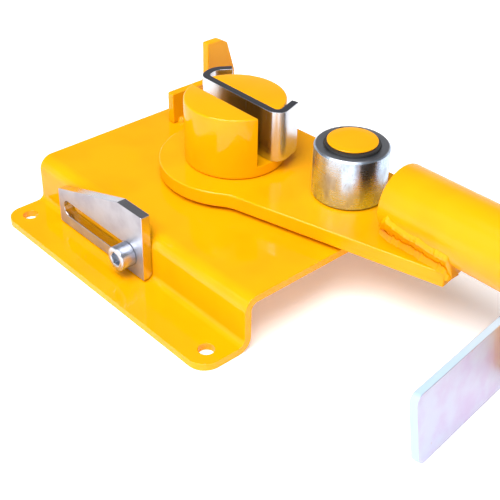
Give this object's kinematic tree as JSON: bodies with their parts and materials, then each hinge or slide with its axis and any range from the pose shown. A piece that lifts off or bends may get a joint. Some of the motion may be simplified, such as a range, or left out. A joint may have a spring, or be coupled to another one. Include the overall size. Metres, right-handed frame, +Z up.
{
  "type": "rebar bender",
  "caption": "Bench bar bender: slotted pivot post on a bent sheet base, swinging lever with a roller, lift-out former, fence and sliding stop.",
  "frame": {"origin": "middle of the seat that the bar lies on in the post's slot, on the pivot's axis", "axes": "+X along the base, with the lever's tube lying towards +X at rest; +Y to the back of the base; +Z up out of the bar's seat"},
  "size_m": [0.6227, 0.2387, 0.0925],
  "materials": {
    "yellow_paint": "gloss yellow enamel",
    "bright_zinc": "satin zinc plating",
    "ground_steel": "turned and ground bare steel",
    "bearing_bronze": "plain sintered bronze",
    "black_spring_steel": "blackened spring steel",
    "black_plastic": "moulded, matt"
  },
  "bodies": {
    "base": {"base_plate": "yellow_paint", "pivot_post": "yellow_paint", "post_bolt": "bright_zinc", "post_washer": "bright_zinc", "post_dowel_left": "ground_steel", "post_dowel_right": "ground_steel", "thrust_washer": "bearing_bronze", "fence_plate": "yellow_paint", "fence_weld_left": "yellow_paint", "fence_weld_right": "yellow_paint", "stop_nut": "bright_zinc"},
    "lever": {"lever_plate": "yellow_paint", "lever_bush": "bearing_bronze", "roller_pin": "yellow_paint", "pin_weld": "yellow_paint", "roller_clip": "black_spring_steel", "handle_tube": "yellow_paint", "tube_weld_front": "yellow_paint", "tube_weld_back": "yellow_paint", "tube_plug": "black_plastic", "foot_lug": "yellow_paint", "lug_weld_outer": "yellow_paint", "lug_weld_inner": "yellow_paint", "lever_foot": "bright_zinc", "foot_bolt_front": "bright_zinc", "foot_bolt_back": "bright_zinc", "foot_nut_front": "bright_zinc", "foot_nut_back": "bright_zinc"},
    "roller": {"roller_bush": "bearing_bronze", "roller_sleeve": "ground_steel"},
    "former": {"bar_former": "ground_steel"},
    "stop": {"stop_plate": "bright_zinc"},
    "screw": {"stop_screw": "bright_zinc"}
  },
  "joints": [
    {"name": "lever_swing", "type": "hinge", "parent": "base", "child": "lever", "pos_m": [0, 0, 0], "axis": [0, 0, 1], "range_deg": [-60.8, 101.8]},
    {"name": "roller_spin", "type": "hinge", "parent": "lever", "child": "roller", "pos_m": [0.08128, 0.02323, 0], "axis": [0, 0, 1], "continuous": true},
    {"name": "former_lift", "type": "slide", "parent": "base", "child": "former", "axis": [0, 0, 1], "range_m": [0, 0.045]},
    {"name": "stop_slide", "type": "slide", "parent": "base", "child": "stop", "axis": [1, 0, 0], "range_m": [0, 0.065]},
    {"name": "screw_turn", "type": "hinge", "parent": "base", "child": "screw", "pos_m": [0.01, -0.0964, -0.038], "axis": [0, -1, 0], "range_deg": [0, 360]}
  ]
}
